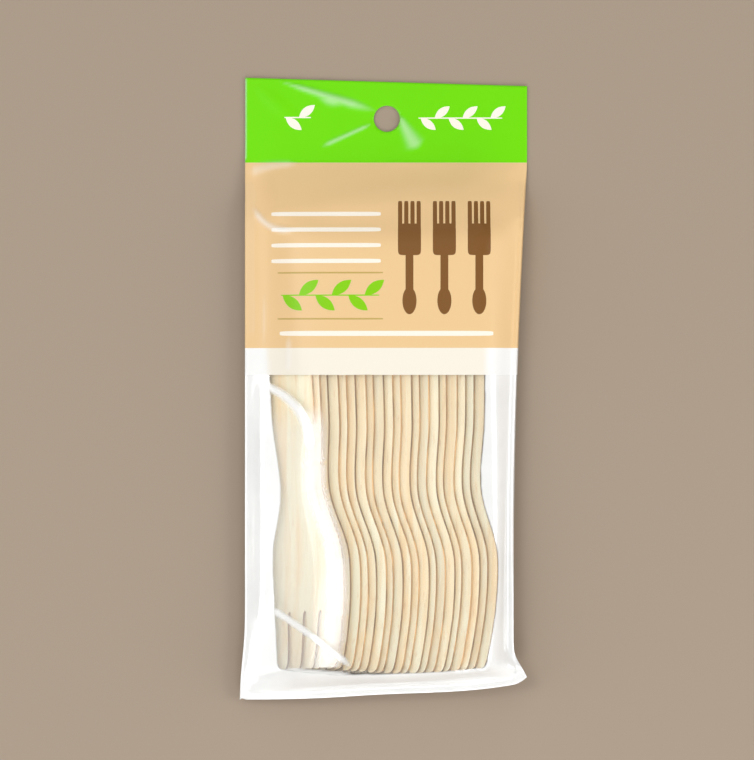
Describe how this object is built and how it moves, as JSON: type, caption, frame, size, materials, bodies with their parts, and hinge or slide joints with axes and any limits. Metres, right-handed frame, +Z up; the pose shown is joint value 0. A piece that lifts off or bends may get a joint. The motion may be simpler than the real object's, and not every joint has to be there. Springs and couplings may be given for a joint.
{
  "type": "pack of wooden forks",
  "caption": "Wooden forks lying shingled in a sealed clear film pouch, with a printed panel and a header that has a hang hole.",
  "frame": {"origin": "bottom centre of the bounding box, on the surface that the pack lies on", "axes": "+X to the right as the printed face is seen with its header up, +Y towards the header, +Z up, out of the printed face"},
  "size_m": [0.1028, 0.2225, 0.0225],
  "materials": {
    "birch": "pressed and sanded, uncoated",
    "printed_film": "glossy clear film, printed green and tan above its window",
    "clear_film": "glossy clear film"
  },
  "bodies": {
    "root": {"fork_01": "birch", "fork_02": "birch", "fork_03": "birch", "fork_04": "birch", "fork_05": "birch", "fork_06": "birch", "fork_07": "birch", "fork_08": "birch", "fork_09": "birch", "fork_10": "birch", "fork_11": "birch", "fork_12": "birch", "fork_13": "birch", "fork_14": "birch", "fork_15": "birch", "fork_16": "birch", "fork_17": "birch", "fork_18": "birch", "fork_19": "birch", "fork_20": "birch", "front_film": "printed_film", "back_film": "clear_film"}
  },
  "joints": []
}
